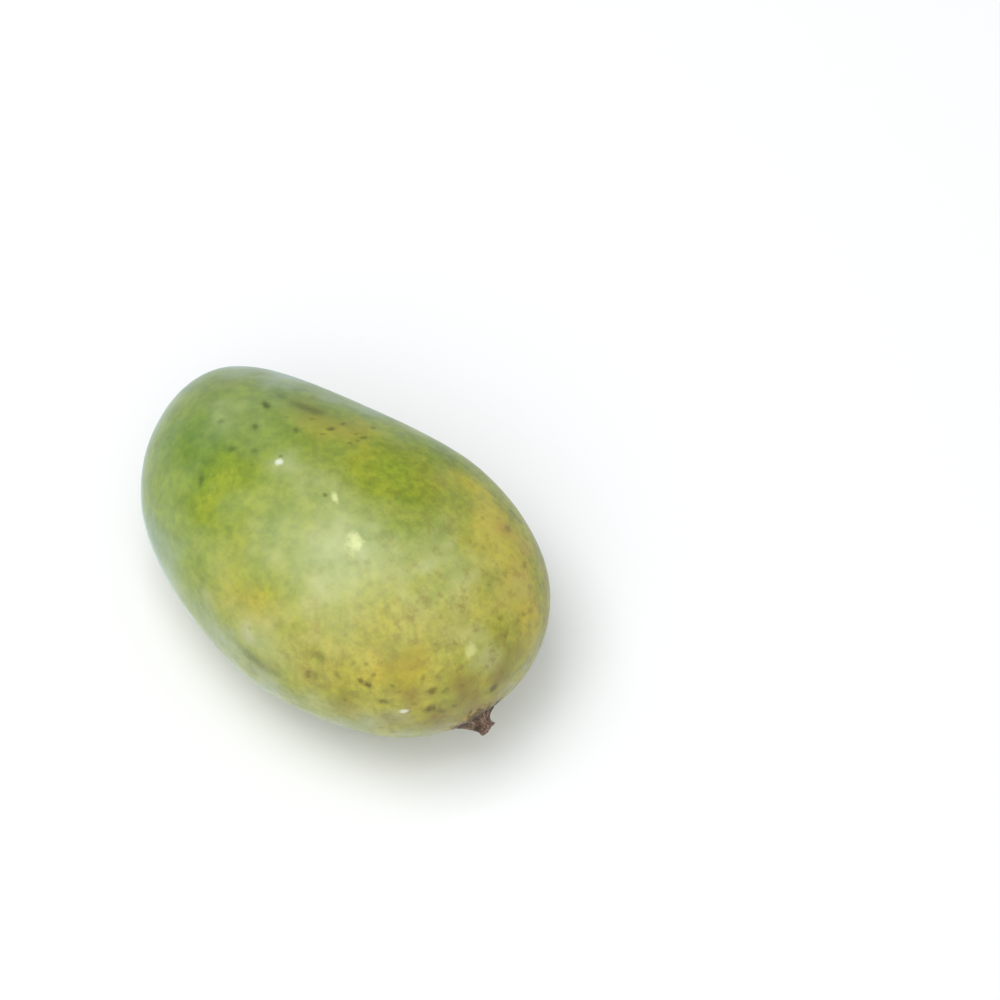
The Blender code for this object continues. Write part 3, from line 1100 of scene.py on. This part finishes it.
def ripening_colour(tree, broad, middling, small):
    """Green to yellow by ripeness, darker and lighter in blotches where the skin is mottled."""
    ripe = plus_share(tree, read(tree, "ripe"), 0.30, centred(tree, broad))
    ripe = plus_share(tree, ripe, 0.17, centred(tree, middling))
    blotch = plus_share(tree, times(tree, small, 0.14), 0.50, middling)
    blotch = plus_share(tree, blotch, 0.30, broad)
    blotch = step(tree, blotch, 0.32, 0.65, -0.20, 0.17)
    shade = plus_share(tree, 1.0, read(tree, "mottle"), blotch)
    grey = add(tree, "ShaderNodeCombineColor", {0: shade, 1: shade, 2: shade}).outputs[0]
    return blend(tree, 1.0, ramp(tree, ripe, RIPENING), grey, "MULTIPLY")


def around_stalk(tree, place, torn, colour):
    """The colour with cork round the stalk's foot, and painted shade in the crevice there."""
    cork_colour = ramp(tree, cloud(tree, place, 1.4 * MM, 3.0, 0.6), CORK)
    cork = plus_share(tree, read(tree, "cork"), 1.4, torn)
    colour = blend(tree, step(tree, cork, 0.2, 1.0, 0.0, 0.9), colour, cork_colour)
    # Painted shade: dark in the crevice round the stalk's foot.
    crevice_shade = plus_share(tree, read(tree, "crevice_shade"), 1.6, torn)
    return blend(tree, step(tree, crevice_shade, 0.2, 1.0, 0.0, 0.75), colour, linear(64, 51, 22))


def with_specks(tree, ragged, colour):
    """The colour with specks, each a dark core in a fainter halo, from dark green to brown."""
    for number in range(SPECK_LAYERS):
        name = f"speck_{number}"
        speck = plus_share(tree, inside(tree, name), 1.4, ragged)
        dark = read(tree, f"{name}_dark")
        brown = read(tree, f"{name}_brown")
        speck_colour = blend(tree, brown, linear(56, 80, 0), linear(82, 60, 2))
        for low, high, strength in (SPECK_HALO, SPECK_CORE):
            share = times(tree, step(tree, speck, low, high, 0.0, strength), dark)
            colour = blend(tree, share, colour, speck_colour)
    return colour


def skin_finish():
    """Waxy skin: green to yellow by ripeness, cloudy and mottled, with wax bloom and a painted
    highlight, painted sheen and shade along the rims, stains, pores, specks, painted highlight
    spots and painted shade in the crevice round the stalk, a satin gloss and the fine dimples of
    a fruit's skin."""
    material, tree, shader = new_finish("ripening_skin")
    place = add(tree, "ShaderNodeTexCoord").outputs["Object"]
    broad = cloud(tree, place, 9 * MM, 3.0)
    middling = cloud(tree, place, 2.6 * MM, 3.0, 0.6)
    small = cloud(tree, place, 0.8 * MM, 2.0, 0.6)
    flaky = cloud(tree, place, 3.6 * MM, 4.0, 0.65)
    noises = {"broad": broad, "middling": middling, "flaky": flaky}

    colour = ripening_colour(tree, broad, middling, small)
    for wash in WASHES:
        share = times(tree, read(tree, wash.stored), step(tree, noises[wash.noise], *wash.ends))
        colour = blend(tree, share, colour, linear(*wash.colour))
    pores = add(tree, "ShaderNodeTexVoronoi", {"Vector": place, "Scale": 1 / PORE_GAP})
    pore = step(tree, pores.outputs["Distance"], 0.06, 0.13, 1.0, 0.0)
    colour = blend(tree, times(tree, pore, 0.16), colour, linear(190, 196, 100))

    ragged = centred(tree, cloud(tree, place, 0.9 * MM, 3.0, 0.6))
    torn = centred(tree, middling)
    colour = around_stalk(tree, place, torn, colour)
    # Painted highlights: the pale spots blended into the colour.
    pale = plus_share(tree, plus_share(tree, inside(tree, "pale"), 0.8, ragged), 2.0, torn)
    pale = times(tree, step(tree, pale, -0.45, 0.8), read(tree, "pale_amount"))
    colour = blend(tree, pale, colour, linear(222, 226, 160))
    colour = with_specks(tree, ragged, colour)
    fleck = step(tree, plus_share(tree, inside(tree, "fleck"), 1.0, ragged), -0.5, 0.6)
    fleck = times(tree, fleck, read(tree, "fleck_amount"))
    colour = blend(tree, fleck, colour, linear(210, 214, 190))

    dimples = plus_share(tree, cloud(tree, place, 0.7 * MM, 2.0), 0.5, pore)
    fill(tree, shader.inputs, {
        "Base Color": colour,
        "Roughness": step(tree, small, 0.3, 0.7, 0.40, 0.50),
        "Sheen Weight": times(tree, read(tree, "wax"), 0.65),
        "Sheen Roughness": 0.30,
        "Sheen Tint": (0.72, 0.86, 1.0, 1.0),
        "Coat Weight": 0.08,
        "Coat Roughness": 0.35,
        "Subsurface Weight": 0.12,
        "Subsurface Radius": (1.0, 0.8, 0.3),
        "Subsurface Scale": 3 * MM,
        "Normal": dimpled(tree, dimples, 0.14, 0.06 * MM),
    })
    return material


# The stalk


def surface_terms(along, aside):
    """The ten terms of a cubic surface over two distances."""
    powers = [(whole - part, part) for whole in range(4) for part in range(whole + 1)]
    return np.stack([along**i * aside**j for i, j in powers], axis=-1)


def skin_height(reach, bearing):
    """Height of the skin over the stalk's seat: a cubic surface, fitted by least squares to the
    formula's own points near the seat."""
    seat, lean, across, axis = stalk_frame()
    turn = np.linspace(STALK_PLACE[0] - 0.3, math.pi, 60)
    around = np.linspace(0, 2 * math.pi, 180)
    places = np.meshgrid(turn, around, indexing="ij")
    points = solid_skin(plain_skin(*places)).reshape(-1, 3) - seat
    points = points[np.linalg.norm(points, axis=-1) < 1.4 * FOOT_RADIUS] / FOOT_RADIUS
    terms = surface_terms(points @ lean, points @ across)
    factors = np.linalg.lstsq(terms, points @ axis * FOOT_RADIUS, rcond=None)[0]
    reach = reach / FOOT_RADIUS
    return surface_terms(reach * np.cos(bearing), reach * np.sin(bearing)) @ factors


def stub_rings(bearing):
    """The stub's rings, from the sunk foot up the neck and in over the broken end. Gives how far
    they reach from the axis, their height over the seat and their shift along the lean, each as
    an array (ring, bearing)."""
    edge = FOOT_RADIUS * (1 + 0.05 * np.cos(5 * bearing + 0.6) + 0.03 * np.cos(2 * bearing))
    edge = edge * (1 + 0.06 * ridges(bearing, (3, 11, 17, 29), seed=11))
    ground = skin_height(edge, bearing)
    tip = TIP_RADIUS * (1 + 0.10 * ridges(bearing, (3, 5, 8, 13), seed=12))
    rim = STALK_HEIGHT - BREAK_SLANT * np.cos(bearing)
    rim = rim + RIM_ROUGHNESS * ridges(bearing, (3, 7, 12, 23, 41), seed=13)

    foot_share, foot_rise = np.array(FOOT_RINGS).T[..., None]
    foot = (edge * foot_share, ground + foot_rise * MM, 0 * foot_share)

    share = np.arange(1, NECK_RINGS + 1)[:, None] / NECK_RINGS
    start, low = foot[0][-1], foot[1][-1]
    swell = SWELL_HEIGHT * np.exp(-(((share - SWELL_SHARE) / SWELL_SPREAD) ** 2))
    reach = tip + (start - tip) * (1 - share) ** FLARE_POWER + swell
    neck = (reach, low + (rim - low) * share, STALK_LEAN * share**1.5)

    share = np.linspace(0.97, 0.08, END_RINGS)[:, None]
    splinter = SPLINTER_HEIGHT * ridges(bearing + 3 * share, (5, 9, 16, 31), seed=14) * share**2
    hollow = END_HOLLOW * (1 - share**2) + PITH_DEPTH * (share < PITH_SHARE)
    height = rim * share + (1 - share) * STALK_HEIGHT + splinter - hollow
    end = (tip * share, height, STALK_LEAN * np.ones_like(share))

    return [
        np.concatenate([np.broadcast_to(part, (len(part), len(bearing))) for part in parts])
        for parts in zip(foot, neck, end)
    ]


def build_stalk():
    """The stub: a lobed foot that grips the skin, a fluted neck that flares down to it, and a
    slanted, splintered end with a hollow pith."""
    seat, lean, across, axis = stalk_frame()
    bearing = np.linspace(0, 2 * math.pi, STALK_AROUND, endpoint=False)
    reach, height, shift = (grid[..., None] for grid in stub_rings(bearing))
    turned = np.cos(bearing)[:, None] * lean + np.sin(bearing)[:, None] * across
    rings = seat + reach * turned + height * axis + shift * lean

    ring = np.arange(len(rings))[:, None]
    neck_start = len(FOOT_RINGS)
    end_start = neck_start + NECK_RINGS
    on_neck = (ring >= neck_start) & (ring < end_start)
    flutes = ridges(bearing, (19, 27, 35, 52), seed=17)
    rough = grains(rings, BARK_GRAINS) + FLUTE_DEPTH * flutes * on_neck
    rough = rough * np.linspace(0.3, 1, len(rings))[:, None]
    out = rings - seat - STALK_LEAN / 2 * lean - (rings - seat) @ axis[:, None] * axis
    out /= np.maximum(np.linalg.norm(out, axis=-1, keepdims=True), TINY)
    rings = rings + out * rough[..., None]

    first = rings[0].mean(axis=0)
    last = rings[-1].mean(axis=0) - 0.2 * MM * axis
    stalk = closed_skin("mango_stalk", fitted(rings), fitted(first), fitted(last))
    for name, values, at_last in (
        ("along", ring / (len(rings) - 1), 1),
        ("broken", ring >= end_start, 1),
        ("pith", np.clip((ring - end_start) / (END_RINGS - 1), 0, 1), 1),
        ("groove", flutes, 0),
    ):
        grid = np.broadcast_to(values, rings.shape[:2])
        store(stalk, name, np.concatenate([[0], grid.ravel(), [at_last]]))
    return stalk


def bark_finish():
    """Dry bark: grey-brown with dark cracks, paler fibres at the broken end."""
    material, tree, shader = new_finish("dry_bark")
    place = add(tree, "ShaderNodeTexCoord").outputs["Object"]
    broad = cloud(tree, place, 2.2 * MM, 3.0, 0.6)
    fine = cloud(tree, place, 0.45 * MM, 3.0, 0.65)
    colour = ramp(tree, broad, BARK)
    cracks = step(tree, fine, 0.45, 0.62, 0.0, 0.7)
    # Darker towards the stub's foot and along the low parts of its flutes.
    foot = step(tree, read(tree, "along"), 0.02, 0.30, 0.65, 0.0)
    grooves = step(tree, read(tree, "groove"), -0.7, 0.1, 0.65, 0.0)
    for share, dark in ((cracks, (48, 40, 30)), (foot, (52, 48, 36)), (grooves, (58, 46, 34))):
        colour = blend(tree, share, colour, linear(*dark))
    fibre = step(tree, fine, 0.40, 0.60)
    splinters = blend(tree, fibre, linear(168, 142, 112), linear(104, 82, 62))
    colour = blend(tree, times(tree, read(tree, "broken"), 0.85), colour, splinters)
    pith = plus_share(tree, read(tree, "pith"), 1.0, centred(tree, broad))
    colour = blend(tree, step(tree, pith, 0.45, 0.80, 0.0, 0.85), colour, linear(54, 42, 30))
    fill(tree, shader.inputs, {
        "Base Color": colour,
        "Roughness": 0.85,
        "Specular IOR Level": 0.25,
        "Normal": dimpled(tree, fine, 0.7, 0.2 * MM),
    })
    return material


# Floor and light


def build_floor():
    """A plain pale floor at the height that the fruit rests on."""
    corners = [(x * FLOOR_HALF, y * FLOOR_HALF, 0) for x, y in ((-1, -1), (1, -1), (1, 1), (-1, 1))]
    mesh = bpy.data.meshes.new("floor")
    mesh.from_pydata(corners, [], [(0, 1, 2, 3)])
    floor = bpy.data.objects.new("floor", mesh)
    bpy.context.scene.collection.objects.link(floor)
    material, tree, shader = new_finish("pale_floor")
    pale = {"Base Color": (0.86, 0.86, 0.86, 1), "Roughness": 0.9, "Specular IOR Level": 0.1}
    fill(tree, shader.inputs, pale)
    mesh.materials.append(material)


def add_light(name, kind, place, aim, **settings):
    """A light at a place, aimed along a direction."""
    data = bpy.data.lights.new(name, kind)
    for key, value in settings.items():
        setattr(data, key, value)
    light = bpy.data.objects.new(name, data)
    light.location = place
    light.rotation_euler = aim.to_track_quat("-Z", "Y").to_euler()
    bpy.context.scene.collection.objects.link(light)


def build_light():
    """A pale surround, brighter from one side, a soft box overhead and a broad soft window."""
    world = bpy.data.worlds.new("surround")
    world.use_nodes = True
    tree = world.node_tree
    direction = add(tree, "ShaderNodeTexCoord").outputs["Generated"]
    inputs = {0: direction, 1: BRIGHT_WAY}
    frontal = add(tree, "ShaderNodeVectorMath", inputs, operation="DOT_PRODUCT").outputs["Value"]
    strength = step(tree, frontal, -1.0, 1.0, *SURROUND_STRENGTH)
    surround = {"Color": (0.93, 0.96, 1.0, 1), "Strength": strength}
    fill(tree, tree.nodes["Background"].inputs, surround)
    bpy.context.scene.world = world

    overhead = Vector((-0.12, -0.22, 1.05))
    aim = Vector(FRUIT_SHIFT) - overhead
    add_light("overhead", "AREA", overhead, aim, shape="SQUARE", size=0.6, energy=5.4)
    aim = Vector((-0.34, 0.52, -0.78))
    add_light("window", "SUN", (0, 0, 0), aim, energy=0.9, angle=math.radians(60))
    bpy.context.scene.view_settings.view_transform = "Standard"


# Making it


photo_camera = photograph_camera()
fruit_skin = build_fruit(photo_camera)
fruit_skin.data.materials.append(skin_finish())
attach(fruit_skin, "root")
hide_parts("fruit")

stub = build_stalk()
stub.data.materials.append(bark_finish())
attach(stub, "root")
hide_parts("stalk")

build_floor()
build_light()
